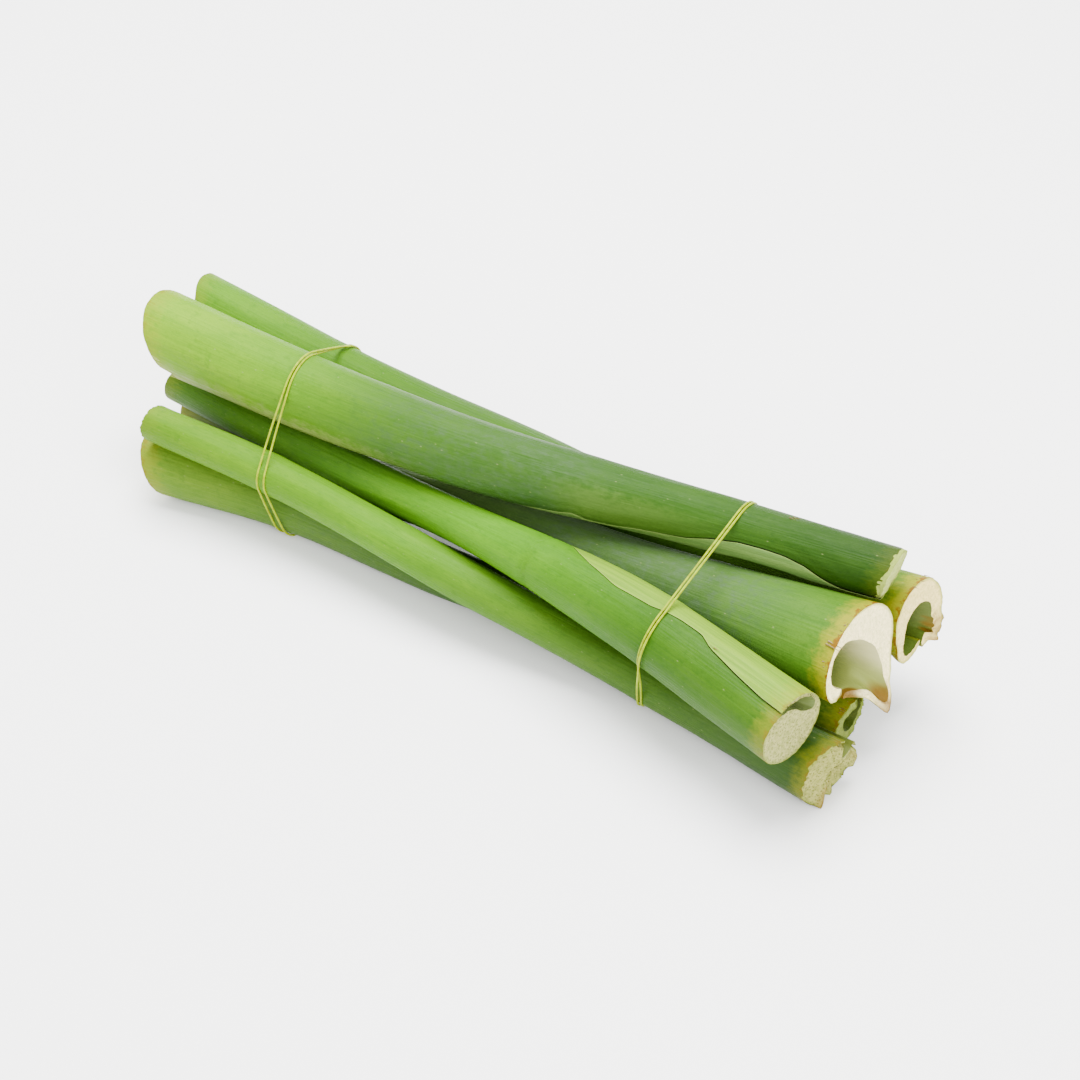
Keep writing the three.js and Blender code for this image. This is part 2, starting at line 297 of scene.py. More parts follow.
def sheath_outlines(sheath, xs):
    """The closed outline at each x, in shares of the half sizes: outer, wing tip, inner, wing tip."""
    angle_out, share_out = polar(sheath["outer"])
    angle_in, share_in = polar(sheath["inner"])
    lap = smooth((xs - sheath["start"]) / LAP_LENGTH)[:, None]
    opened = np.clip((xs - sheath["start"]) / (xs[-1] - sheath["start"]), 0, 1)[:, None] ** sheath["power"]
    opened = np.maximum(opened, LEAST_LAP * lap)
    lifted = 0.2 * lap + 0.8 * opened
    shut = np.linspace(angle_out[-1], angle_out[0] + 2 * math.pi, len(angle_in) + 2)[1:-1]
    shares = 1 + (share_out - 1) * lifted
    outer = np.stack([shares * np.cos(angle_out), shares * np.sin(angle_out)], -1)
    edge = 1 + (0.5 * (share_out[0] + share_out[-1]) - 1) * lifted
    closed = np.stack([edge * np.cos(shut), edge * np.sin(shut)], -1)
    hollow = np.stack([share_in * np.cos(angle_in), share_in * np.sin(angle_in)], -1)
    inner = closed + (hollow - closed) * opened[..., None]
    steps = arc_steps()
    outer = np.einsum("mk,skc->smc", curve_weights(len(angle_out), steps), outer)
    inner = np.einsum("mk,skc->smc", curve_weights(len(angle_in), steps), inner)

    def tip(a, b, before):
        """The rounded edge of a wing, from a to b, bulging onwards from the point before a."""
        rise = row_shares()
        bulge = 0.4 * np.linalg.norm(b - a, axis=-1, keepdims=True) * unit(a - before + 1e-9)
        return (a[:, None] + (b - a)[:, None] * rise[:, None]
                + bulge[:, None] * np.sin(math.pi * rise)[:, None])

    loop = np.concatenate([
        outer, tip(outer[:, -1], inner[:, 0], outer[:, -2]),
        inner, tip(inner[:, -1], outer[:, 0], inner[:, -2])], axis=1)
    turn = np.radians(np.interp(xs, *np.array(sheath["turns"], float).T))
    turn *= smooth((xs - sheath["start"] + 10) / 10)
    cos, sin = np.cos(turn)[:, None], np.sin(turn)[:, None]
    return np.stack([loop[..., 0] * cos - loop[..., 1] * sin, loop[..., 0] * sin + loop[..., 1] * cos], -1)


def ripple(xs, angles, strength, seed):
    """Gentle unevenness of a skin: long swells, and ribs that run along the stalk. In mm."""
    draw = np.random.default_rng(seed)
    total = np.zeros(np.broadcast(xs, angles).shape)
    for waves, length, height in ((1, 170, 0.45), (2, 120, 0.35), (3, 90, 0.25), (5, 60, 0.12),
                                  (13, 200, 0.05), (21, 240, 0.05), (34, 300, 0.035)):
        phase, drift = draw.uniform(0, 2 * math.pi, 2)
        total += height * np.cos(waves * angles + phase + 0.8 * np.sin(2 * math.pi * xs / length + drift))
        total += 0.5 * height * np.cos(2 * math.pi * xs / length + drift + waves * angles)
    return strength * total


def ragged_edge(angles, strength, seed):
    """How far a torn cut runs in and out round the stalk, in mm."""
    draw = np.random.default_rng(seed)
    total = np.zeros_like(angles)
    for waves, height in ((2, 0.5), (5, 0.35), (11, 0.3), (19, 0.25), (33, 0.2), (52, 0.15)):
        total += height * np.cos(waves * angles + draw.uniform(0, 2 * math.pi))
    return strength * total


# ---- rubber bands

def band_plane(band, y, z):
    """x of the band's plane at places across the bundle, in mm."""
    rise = z - MID_HEIGHT
    return band["x"] + band["lean_y"] * y + band["lean_z"] * rise + band["bow"] * (rise / MID_HEIGHT) ** 2


def band_turn(band, count):
    """Evenly spaced places round the tight outline of the stalks, in a band's plane, with directions."""
    points = []
    angles = np.linspace(0, 2 * math.pi, 72, endpoint=False)
    grow = STRAND / 2 - BITE
    for stalk in STALKS.values():
        places = Places(stalk["route"])
        wide, high = places.wide[:, None] + grow, places.high[:, None] + grow
        flat = np.stack([wide * np.cos(angles), high * np.sin(angles)], -1)
        rings = places.ring_points(flat)
        past = rings[..., 0] - band_plane(band, rings[..., 1], rings[..., 2])
        row = np.argmax(past > 0, axis=0)
        column = np.arange(len(angles))
        a, b = past[row - 1, column], past[row, column]
        share = (a / (a - b))[:, None]
        points.append(rings[row - 1, column] * (1 - share) + rings[row, column] * share)
    points = np.vstack(points)[:, 1:]
    points[:, 1] = np.maximum(points[:, 1], STRAND / 2 + STRAND_AIR)
    order = convex_hull_2d([Vector(p) for p in points])
    outline = points[order]
    area = np.sum(outline[:, 0] * np.roll(outline[:, 1], -1) - outline[:, 1] * np.roll(outline[:, 0], -1))
    if area < 0:
        outline = outline[::-1]
    outline = np.roll(outline, -int(np.argmin(outline[:, 0])), axis=0)
    closed = np.vstack([outline, outline[:1]])
    lengths = np.r_[0, np.cumsum(np.linalg.norm(np.diff(closed, axis=0), axis=1))]
    spots = np.linspace(0, lengths[-1], count, endpoint=False)
    y, z = (np.interp(spots, lengths, closed[:, k]) for k in (0, 1))
    centres = np.column_stack([band_plane(band, y, z), y, z])
    along = unit(np.roll(centres, -1, axis=0) - np.roll(centres, 1, axis=0))
    outward = unit(np.cross(along, [1.0, 0.0, 0.0]))
    return centres, outward, np.cross(along, outward)


def strand_route(band):
    """The endless strand, which goes round twice and crosses over itself once. In mm."""
    centres, outward, beside = band_turn(band, STRAND_STEPS)
    steps = np.arange(2 * STRAND_STEPS)
    past = (steps / STRAND_STEPS - band["crossing"] + 1) % 2 - 1
    apart = np.tanh(band["sharpness"] * np.sin(math.pi * past)) / math.tanh(band["sharpness"])
    over = (STRAND + STRAND_AIR) * np.exp(-((past / RIDE_LENGTH) ** 4))
    ring = steps % STRAND_STEPS
    return centres[ring] + beside[ring] * (band["spread"] * apart)[:, None] + outward[ring] * over[:, None]


# ---- stalks

def cut_shift(stalk, x, offset, angles, seed):
    """How far points run out along the stalk at its cuts: the slant, the torn edge and the prongs. In mm."""
    left, right = stalk["route"][0], stalk["route"][-1]
    shift = np.zeros(angles.shape)
    cuts = ((left, stalk["left_lean"], -1, []), (right, stalk["right_lean"], 1, stalk["prongs"]))
    for station, lean, outwards, prongs in cuts:
        away = np.abs(x - station[0])
        fade = np.maximum(0, 1 - away / (3 * station[3]))
        shift += fade * (lean[0] * offset[..., 1] + lean[1] * offset[..., 2])
        out = np.minimum(1, np.linalg.norm(offset, axis=-1) / station[3])
        ragged = stalk["ragged"] * (1 if outwards > 0 else LEFT_RAGGED)
        torn = ragged_edge(angles, ragged, seed + outwards) - ragged
        shift += outwards * smooth(1 - away / RAGGED_LENGTH) * out**2 * torn
        for angle, width, length, _, _ in prongs:
            shift += length * smooth(1 - away / TEAR_LENGTH) * near_angle(angles, angle, width)
    if "set_back" in stalk:
        first, last, length = stalk["set_back"]
        degrees = np.degrees(angles) % 360
        shift += length * smooth(1 - (x - left[0]) / (4 * length)) * (
            smooth((degrees - first) / 5) * smooth((last - degrees) / 5))
    return shift


def teeth(angles, length, seed):
    """Uneven pointed teeth round a torn skin, in mm."""
    draw = np.random.default_rng(seed)
    drift = 0.5 * np.sin(3 * angles + draw.uniform(0, 6)) + 0.4 * np.sin(7 * angles + draw.uniform(0, 6))
    saw = np.abs((angles * TORN_TEETH / (2 * math.pi) + drift) % 1 - 0.5) * 2
    return length * saw * (0.6 + 0.4 * np.sin(5 * angles + draw.uniform(0, 6)))


def near_angle(angles, degrees, width):
    """1 at an angle round the stalk, falling to 0 over about width degrees."""
    gap = (angles - math.radians(degrees) + math.pi) % (2 * math.pi) - math.pi
    return np.exp(-((gap / math.radians(width)) ** 2))


def splayed(stalk, x, angles):
    """How far torn prongs stand out across the cut, in mm, and how dry their tips are, 0 to 1."""
    out, dry = np.zeros(angles.shape), np.zeros(angles.shape)
    away = stalk["route"][-1][0] - x
    for angle, width, _, splay, dryness in stalk["prongs"]:
        rise = smooth(1 - away / TEAR_LENGTH) ** 1.5 * near_angle(angles, angle, width)
        out += splay * rise
        dry = np.maximum(dry, dryness * smooth((rise - 0.25) / 0.4))
    return out, dry


def placed(stalk, places, x, flat, seed):
    """Points of outlines given as (side, up) pairs in mm, slanted and torn at the cuts."""
    points = places.ring_points(flat)
    offset = points - places.centre[:, None]
    angles = np.arctan2(flat[..., 1], flat[..., 0])
    shift = cut_shift(stalk, x[:, None], offset, angles, seed)
    return points + places.along[:, None] * shift[..., None]


def near_band(points, reach):
    """1 under a rubber band, falling to 0 about reach mm away from it."""
    nearest = np.zeros(points.shape[:-1])
    for band in BANDS.values():
        away = points[..., 0] - band_plane(band, points[..., 1], points[..., 2])
        nearest = np.maximum(nearest, np.exp(-((away / reach) ** 2)))
    return nearest


def dented(flat, spots, radii, depths):
    """How deep pores of the cut flesh are at flat points, in mm."""
    depth = np.zeros(flat.shape[:-1])
    for spot, radius, deep in zip(spots, radii, depths):
        depth += deep * np.exp(-(np.sum((flat - spot) ** 2, axis=-1) / radius**2))
    return depth


def cut_face(stalk, places, x, flat, ring, seed):
    """Inner points of a cut face, in rows across the wall, with their depth under the skin, in mm."""
    outer = flat[ring, :ROUND]
    inner = flat[ring, ROUND + TIP:2 * ROUND + TIP][::-1]
    shares = row_shares()[:, None]
    grid = outer + (inner - outer) * shares[..., None]
    depth = shares * np.linalg.norm(inner - outer, axis=-1)
    draw = np.random.default_rng(seed)
    rows, columns = draw.integers(1, TIP - 1, PORES), draw.integers(2, ROUND - 2, PORES)
    radii, depths = draw.uniform(0.35, 1.1, PORES), draw.uniform(-0.1, 0.55, PORES)
    pores = stalk.get("pores", 0.8) * dented(grid, grid[rows, columns], radii, depths)
    sink = smooth(depth / 2.0) * (stalk["dish"] * np.sin(math.pi * shares) + pores)
    where = places.picked(ring)
    points = placed(stalk, where, x[ring:ring + 1], grid.reshape(1, -1, 2), seed)
    points = points.reshape(grid.shape[:2] + (3,))
    inwards = -1 if ring else 1
    return points + where.along[0] * (inwards * sink)[..., None], depth


def quads_between(rows):
    """Faces between neighbouring points of a grid of point numbers."""
    return np.stack([rows[:-1, :-1], rows[:-1, 1:], rows[1:, 1:], rows[1:, :-1]], -1).reshape(-1, 4)


def face_numbers(start, first_new):
    """Grid of point numbers over a cut face: its rim is the ring that begins at start."""
    grid = np.zeros((FACE_ROWS + 1, ROUND), int)
    grid[0] = start + np.arange(ROUND)
    grid[-1] = start + ROUND + TIP + np.arange(ROUND)[::-1]
    grid[1:-1] = first_new + np.arange(TIP * ROUND).reshape(TIP, ROUND)
    grid[1:-1, -1] = start + ROUND + np.arange(TIP)
    grid[1:-1, 0] = start + 2 * ROUND + TIP + np.arange(TIP)[::-1]
    return grid


def ring_sides(stalk, xs):
    """For each point of each ring, 0 to 1: on the hollow side, on a sheath wing, and on the wing's edge,
    where a highlight is painted over the edge's paler tone.
    """
    sheath = stalk["sheath"]
    lap = smooth((xs - sheath["start"]) / LAP_LENGTH)[:, None]
    opened = (np.clip(xs - sheath["start"], 0, None) / (xs[-1] - sheath["start"])) ** sheath["power"]
    second_tip = 2 * ROUND + TIP
    inside = np.zeros((len(xs), second_tip + TIP))
    inside[:, ROUND:] = 1
    inside[:, ROUND:ROUND + TIP] = np.linspace(0, 1, TIP)
    inside[:, second_tip:] = np.linspace(1, 0, TIP)
    wing, edge = np.zeros_like(inside), np.zeros_like(inside)
    if "wing" in stalk:
        reach, at_end = stalk["wing"]
        angles = curve_weights(len(sheath["outer"]), arc_steps()) @ polar(sheath["outer"])[0]
        away = np.degrees(angles[-1] - angles if at_end else angles - angles[0])
        wing[:, :ROUND] = smooth((reach - away) / 9)
        if at_end:
            edge[:, ROUND - 1:ROUND - 1 + TIP] = 1
        else:
            edge[:, second_tip:] = 1
            edge[:, 0] = 1
    return inside * smooth(5 * opened)[:, None], wing * lap, edge * lap


def built_mesh(name, points, quads, values):
    """A closed smooth mesh in metres, with a named value or vector at each of its points."""
    used = np.unique(quads)
    numbers = np.full(len(points), -1)
    numbers[used] = np.arange(len(used))
    mesh = bpy.data.meshes.new(name)
    mesh.from_pydata((points[used] * MM).tolist(), [], numbers[quads].tolist())
    for key, value in values.items():
        kind, label = ("FLOAT_VECTOR", "vector") if value.ndim > 1 else ("FLOAT", "value")
        attribute = mesh.attributes.new(key, kind, "POINT")
        attribute.data.foreach_set(label, value[used].ravel().astype(np.float32))
    mesh.validate()
    mesh.shade_smooth()
    mesh.set_sharp_from_angle(angle=math.radians(SHARP_ANGLE))
    return mesh


def stalk_rings(stalk, seed):
    """A stalk's rings of points in mm: where they lie, their outlines, and values at each point."""
    xs = ring_stations(stalk["route"])
    places = Places(stalk["route"], xs)
    shares = sheath_outlines(stalk["sheath"], xs)
    flat = shares * FIT * np.stack([places.wide, places.high], -1)[:, None]
    angles = np.arctan2(flat[..., 1], flat[..., 0])
    swell = ripple(xs[:, None], angles, UNEVENNESS, seed) - SUNK
    swell *= 1 - 0.8 * near_band(places.ring_points(flat), CALM_REACH)
    inside, wing, edge = ring_sides(stalk, xs)
    bare = np.zeros_like(inside)
    if "peel" in stalk:
        length, jag = stalk["peel"]
        peeled = length + teeth(angles, jag, seed + 40)
        from_right = xs[-1] - xs[:, None]
        bare = smooth((peeled - from_right) / 0.5 + 0.5) * (1 - inside)
        swell -= PEELED_DEPTH * bare
    splay, dry = splayed(stalk, xs[:, None], angles)
    swell += splay
    flat += unit(shares) * swell[..., None]
    along = xs[:, None] + 0 * angles
    grain = np.stack([along, GRAIN_RADIUS * np.cos(angles), GRAIN_RADIUS * np.sin(angles)], -1)
    values = {
        "grain": grain, "inside": inside, "wing": wing, "pale_edge_highlight": edge, "dry": dry, "bare": bare,
        "depth": np.zeros_like(inside), "cut_away": np.minimum(along - xs[0], xs[-1] - along)}
    return xs, places, flat, values


def stalk_object(name, stalk, seed):
    """One stalk: its skin, its sheath wings, and the cut faces at its two ends."""
    xs, places, flat, ring_values = stalk_rings(stalk, seed)
    skin = placed(stalk, places, xs, flat, seed)
    skin[..., 2] = np.maximum(skin[..., 2], ABOVE_FLOOR)

    count, loop = skin.shape[:2]
    total = count * loop
    numbers = np.arange(total).reshape(count, loop)
    quads = [quads_between(np.c_[numbers, numbers[:, :1]])]
    points = [skin.reshape(total, 3)]
    values = {key: [value.reshape(total, *value.shape[2:])] for key, value in ring_values.items()}
    for ring, turn_round in ((0, False), (count - 1, True)):
        grid = face_numbers(ring * loop, total)
        rows, depth = cut_face(stalk, places, xs, flat, ring, seed + 9 * ring)
        quads.append(quads_between(grid if turn_round else grid[:, ::-1]))
        points.append(rows.reshape(-1, 3))
        local = places.picked(ring)
        offset = rows - local.centre[0]
        grain = np.stack([0 * depth + xs[ring], offset @ local.side[0], offset @ local.up[0]], -1)
        dry = ring_values["dry"][ring]
        rim, inner_rim = dry[:ROUND], dry[grid[-1] - ring * loop]
        face_values = {
            "grain": grain, "bare": np.ones_like(depth), "depth": depth,
            "dry": rim + (inner_rim - rim) * row_shares()[:, None]}
        for key in values:
            value = face_values.get(key, np.zeros_like(depth))
            values[key].append(value.reshape(depth.size, *value.shape[2:]))
        total += depth.size
    points = np.clip(np.vstack(points), LOWEST, HIGHEST)
    quads = np.vstack(quads)[:, ::-1]
    values = {key: np.concatenate(parts) for key, parts in values.items()}
    return linked(name, built_mesh(name, points, quads, values))


# ---- geometry nodes

def wired(tree, kind, inputs, **settings):
    """Adds a node to a tree, with its settings, and with its inputs set or linked."""
    node = tree.nodes.new(kind)
    for key, value in settings.items():
        setattr(node, key, value)
    for key, value in inputs.items():
        socket = node.inputs[key]
        if isinstance(value, bpy.types.NodeSocket):
            tree.links.new(value, socket)
        elif socket.type == "RGBA":
            socket.default_value = (*value, 1)
        else:
            socket.default_value = value
    return node


def node_group(name, **inputs):
    """An empty Geometry Nodes group with named inputs, and the sockets that bring them in."""
    group = bpy.data.node_groups.new(name, "GeometryNodeTree")
    for label, kind in {"Geometry": "Geometry", **inputs}.items():
        group.interface.new_socket(label, in_out="INPUT", socket_type="NodeSocket" + kind)
    group.interface.new_socket("Geometry", in_out="OUTPUT", socket_type="NodeSocketGeometry")
    return group, group.nodes.new("NodeGroupInput").outputs


def painted(group, shape, material):
    """Ends a group: the shape gets its material and goes out."""
    paint = wired(group, "GeometryNodeSetMaterial", {"Geometry": shape, "Material": material})
    wired(group, "NodeGroupOutput", {"Geometry": paint.outputs["Geometry"]})


def strand_nodes():
    """Turns a line into a round strand."""
    group, given = node_group("rubber_strand", Radius="Float", Sides="Int", Material="Material")
    curve = wired(group, "GeometryNodeMeshToCurve", {"Mesh": given["Geometry"]})
    circle = wired(group, "GeometryNodeCurvePrimitiveCircle", {
        "Radius": given["Radius"], "Resolution": given["Sides"]})
    tube = wired(group, "GeometryNodeCurveToMesh", {
        "Curve": curve.outputs["Curve"], "Profile Curve": circle.outputs["Curve"]})
    smooth_faces = wired(group, "GeometryNodeSetShadeSmooth", {"Geometry": tube.outputs["Mesh"]})
    painted(group, smooth_faces.outputs["Geometry"], given["Material"])
    return group


def fibre_nodes():
    """Sets short tapered fibres on points, each turned and scaled a little differently."""
    group, given = node_group(
        "torn_fibres", Length="Float", Thickness="Float", Spread="Float", Seed="Int", Material="Material")
    cone = wired(group, "GeometryNodeMeshCone", {
        "Vertices": 5, "Side Segments": 4, "Radius Top": 0.00003,
        "Radius Bottom": given["Thickness"], "Depth": given["Length"]})
    most = wired(group, "ShaderNodeVectorMath", {0: (1, 1, 1), "Scale": given["Spread"]}, operation="SCALE")
    least = wired(group, "ShaderNodeVectorMath", {0: most.outputs[0], "Scale": -1}, operation="SCALE")
    tilt = wired(group, "FunctionNodeRandomValue", {
        0: least.outputs[0], 1: most.outputs[0], "Seed": given["Seed"]}, data_type="FLOAT_VECTOR")
    lie = wired(group, "FunctionNodeEulerToRotation", {0: (0, math.pi / 2, 0)})
    jitter = wired(group, "FunctionNodeEulerToRotation", {0: tilt.outputs[0]})
    both = wired(group, "FunctionNodeRotateRotation", {0: lie.outputs[0], 1: jitter.outputs[0]})
    size = wired(group, "FunctionNodeRandomValue", {2: 0.4, 3: 1.2, "Seed": given["Seed"]})
    instances = wired(group, "GeometryNodeInstanceOnPoints", {
        "Points": given["Geometry"], "Instance": cone.outputs["Mesh"],
        "Rotation": both.outputs[0], "Scale": size.outputs[1]})
    real = wired(group, "GeometryNodeRealizeInstances", {"Geometry": instances.outputs["Instances"]})
    painted(group, real.outputs["Geometry"], given["Material"])
    return group


def grown(name, points, edges, group, settings):
    """A plain mesh object that a node group makes from points and edges in mm."""
    mesh = bpy.data.meshes.new(name + "_seed")
    mesh.from_pydata((points * MM).tolist(), edges, [])
    made = linked(name, mesh)
    modifier = made.modifiers.new("grow", "NODES")
    modifier.node_group = group
    for item in group.interface.items_tree:
        if item.in_out == "INPUT" and item.name in settings:
            modifier[item.identifier] = settings[item.name]
    bpy.context.view_layer.update()
    shape = bpy.data.meshes.new_from_object(made.evaluated_get(bpy.context.evaluated_depsgraph_get()))
    made.modifiers.remove(modifier)
    made.data = shape
    corners = np.zeros(3 * len(shape.vertices))
    shape.vertices.foreach_get("co", corners)
    inside_box = np.clip(corners.reshape(-1, 3), LOWEST * MM, HIGHEST * MM)
    shape.vertices.foreach_set("co", inside_box.ravel())
    shape.name = name
    bpy.data.meshes.remove(mesh)
    return made


# ---- materials

class Recipe:
    """A material whose shader nodes are added one after another."""

    def __init__(self, name):
        self.material = bpy.data.materials.new(name)
        self.material.use_nodes = True
        self.tree = self.material.node_tree
        self.tree.nodes.clear()

    def node(self, kind, inputs, **settings):
        return wired(self.tree, kind, inputs, **settings)

    def attribute(self, name, output="Fac"):
        return self.node("ShaderNodeAttribute", {}, attribute_name=name).outputs[output]

    def part(self, vector, axis):
        return self.node("ShaderNodeSeparateXYZ", {0: vector}).outputs[axis]

    def place_in_mm(self):
        place = self.node("ShaderNodeTexCoord", {}).outputs["Object"]
        return self.stretched(place, (1 / MM, 1 / MM, 1 / MM))

    def stretched(self, vector, scale):
        return self.node("ShaderNodeMapping", {"Vector": vector, "Scale": scale}).outputs[0]

    def noise(self, vector, scale, detail=3.0, rough=0.55):
        return self.node("ShaderNodeTexNoise", {
            "Vector": vector, "Scale": scale, "Detail": detail, "Roughness": rough}).outputs["Fac"]

    def cells(self, vector, scale):
        return self.node("ShaderNodeTexVoronoi", {"Vector": vector, "Scale": scale}).outputs[0]

    def band(self, value, low, high, to_low=0.0, to_high=1.0):
        """Turns low to high into to_low to to_high, smoothly, and stays at those values beyond."""
        return self.node("ShaderNodeMapRange", {
            "Value": value, "From Min": low, "From Max": high, "To Min": to_low, "To Max": to_high},
            interpolation_type="SMOOTHSTEP").outputs[0]

    def math(self, operation, a, b=0.0):
        return self.node("ShaderNodeMath", {0: a, 1: b}, operation=operation).outputs[0]

    def mix(self, factor, a, b, blend="MIX"):
        inputs = {0: factor, 6: a, 7: b}
        return self.node("ShaderNodeMix", inputs, data_type="RGBA", blend_type=blend).outputs[2]

    def tinted(self, colour, tint):
        return self.mix(1.0, colour, tint, "MULTIPLY")

    def ramp(self, value, stops):
        node = self.node("ShaderNodeValToRGB", {0: value})
        points = node.color_ramp.elements
        points[0].color = (*stops[0][1], 1)
        points[1].color = (*stops[-1][1], 1)
        for place, colour in stops[1:-1]:
            points.new(place).color = (*colour, 1)
        return node.outputs[0]

    def bump(self, height, distance, strength, before=None):
        inputs = {"Height": height, "Distance": distance, "Strength": strength}
        if before is not None:
            inputs["Normal"] = before
        return self.node("ShaderNodeBump", inputs).outputs[0]

    def finish(self, **sockets):
        shader = self.node("ShaderNodeBsdfPrincipled", {
            key.replace("_", " "): value for key, value in sockets.items()})
        self.node("ShaderNodeOutputMaterial", {"Surface": shader.outputs[0]})
        return self.material


# For each stalk: skin colours by x in mm, the flesh, the colour of the hollow side, how brown the
# left and right rims are, and where along the stalk the waxy bloom lies, in mm, with its strength.
# wing is the colour of the free sheath edge, and pored how much the pores of the flesh show.
# strips are paler ones: their angle round the stalk in degrees, first and last x in mm, and colour.
LOOKS = {
    "stalk_back": dict(
        along=[(-205, (0.06, 0.165, 0.001)), (-60, (0.03, 0.09, 0.001)), (60, (0.026, 0.08, 0.002)),
               (150, (0.03, 0.08, 0.003)), (205, (0.065, 0.12, 0.004))],
        flesh=(0.8, 0.64, 0.24), hollow=(0.1, 0.13, 0.03), brown=(0.2, 0.9), bloom=(-60, 60, 0.3)),
    "stalk_top": dict(
        along=[(-205, (0.115, 0.235, 0.001)), (-120, (0.07, 0.175, 0.002)), (-50, (0.03, 0.085, 0.004)),
               (30, (0.02, 0.06, 0.004)), (110, (0.019, 0.058, 0.003)), (205, (0.011, 0.034, 0.002))],
        flesh=(0.34, 0.38, 0.1), hollow=(0.03, 0.06, 0.01), brown=(0.35, 0.1), bloom=(-60, 50, 0.6),
        wing=(0.13, 0.215, 0.05),
        strips=[(232, -300, -60, (0.2, 0.25, 0.06)), (176, 25, 110, (0.05, 0.1, 0.012))]),
    "stalk_front": dict(
        along=[(-205, (0.037, 0.096, 0.006)), (-60, (0.047, 0.14, 0.004)), (20, (0.055, 0.17, 0.002)),
               (120, (0.026, 0.083, 0.002)), (205, (0.03, 0.08, 0.003))],
        flesh=(0.32, 0.31, 0.11), hollow=(0.09, 0.12, 0.03), brown=(0.2, 0.4), bloom=(-120, -60, 0.2),
        wing=(0.135, 0.235, 0.01), pored=0.8),
    "stalk_low_front": dict(
        along=[(-205, (0.066, 0.15, 0.001)), (-40, (0.06, 0.165, 0.001)), (80, (0.037, 0.091, 0.005)),
               (205, (0.016, 0.042, 0.003))],
        flesh=(0.28, 0.27, 0.075), hollow=(0.08, 0.1, 0.015), brown=(0.1, 0.4), bloom=(150, 200, 0.2),
        pored=0.8),
    "stalk_bottom": dict(
        along=[(-205, (0.085, 0.16, 0.006)), (-120, (0.05, 0.11, 0.006)), (0, (0.024, 0.06, 0.006)),
               (205, (0.04, 0.08, 0.006))],
        flesh=(0.16, 0.2, 0.035), hollow=(0.06, 0.08, 0.012), brown=(0.4, 0.5), bloom=(-100, 0, 0.4)),
    "stalk_middle": dict(
        along=[(-205, (0.085, 0.12, 0.025)), (-100, (0.05, 0.1, 0.016)), (40, (0.038, 0.082, 0.014)),
               (110, (0.032, 0.071, 0.013)), (160, (0.042, 0.104, 0.011)), (205, (0.045, 0.115, 0.003))],
        flesh=(1.0, 0.86, 0.45), hollow=(0.45, 0.43, 0.2), brown=(0.3, 1.0), bloom=(30, 155, 1.0)),
}
LEFT_FLESH = (0.34, 0.38, 0.12)
# A painted highlight along a wing's free edge, over the edge's paler tone
PALE_EDGE_HIGHLIGHT = (0.3, 0.4, 0.1)      # of a wing's free edge
RUST = (0.13, 0.058, 0.002)      # of dry rims and prongs
YELLOWED = (0.2, 0.19, 0.002)    # of the skin next to a dry rim
BLOOM = (0.048, 0.083, 0.036)
SPECK = (0.16, 0.2, 0.07)
FLESH_RIM = (0.2, 0.26, 0.03)    # of the flesh just under the skin
SHEEN = 0.07                     # low, because the skins are waxy


def skin_colour(r, look, grain, streaks):
    """Greens that change along the stalk, with streaks, mottling and a pale waxy bloom."""
    along = r.part(grain, 0)
    first, last = look["along"][0][0], look["along"][-1][0]
    share = r.math("DIVIDE", r.math("SUBTRACT", along, first), last - first)
    colour = r.ramp(share, [((x - first) / (last - first), tint) for x, tint in look["along"]])
    fine = r.noise(r.stretched(grain, (0.03, 1, 1)), 4.0, 2.0)
    mottle = r.noise(r.stretched(grain, (0.3, 1, 1)), 0.11, 4.0)
    patches = r.noise(r.stretched(grain, (0.6, 1, 1)), 0.35, 5.0, 0.7)
    speckle = r.noise(r.stretched(grain, (0.5, 1, 1)), 1.6, 4.0, 0.7)
    veins = r.noise(r.stretched(grain, (0.008, 1, 1)), 2.6, 1.0)
    specks = r.cells(r.stretched(grain, (0.45, 1, 1)), 0.3)
    darker = r.tinted(colour, (0.68, 0.78, 0.7))
    paler = r.tinted(colour, (1.3, 1.15, 1.3))
    for pattern, low, high, strength, tint in (
            (streaks, 0.4, 0.75, 0.55, darker), (mottle, 0.42, 0.72, 0.8, paler),
            (fine, 0.48, 0.75, 0.75, paler), (speckle, 0.5, 0.75, 0.75, darker),
            (patches, 0.5, 0.7, 0.75, darker), (veins, 0.55, 0.66, 0.45, darker)):
        colour = r.mix(r.band(pattern, low, high, 0, strength), colour, tint)
    start, end, strength = look["bloom"]
    powder = r.math("MULTIPLY", r.band(patches, 0.4, 0.7, 0.1, strength), r.band(fine, 0.42, 0.6, 0.55, 1))
    powder = r.math("MULTIPLY", powder, r.band(along, start - 30, start + 20))
    powder = r.math("MULTIPLY", powder, r.band(along, end - 20, end + 25, 1, 0))
    colour = r.mix(powder, colour, BLOOM)
    return r.mix(r.band(specks, 0.05, 0.09, 0.45, 0), colour, SPECK), patches


def pale_strip(r, strip, grain, patches, colour):
    """A paler strip along one side of a stalk, between two places along it."""
    degrees, first, last, tint = strip
    angle = math.radians(degrees)
    side = r.node("ShaderNodeVectorMath", {0: grain, 1: (0, math.cos(angle), math.sin(angle))},
                  operation="DOT_PRODUCT").outputs["Value"]
    uneven = r.math("ADD", r.math("DIVIDE", side, GRAIN_RADIUS), r.band(patches, 0.3, 0.7, -0.12, 0.12))
    along = r.part(grain, 0)
    reach = r.math("MULTIPLY", r.band(along, first, first + 30), r.band(along, last - 60, last + 40, 0.8, 0))
    share = r.math("MULTIPLY", r.band(uneven, 0.62, 1.0), reach)
    return r.mix(share, colour, tint)


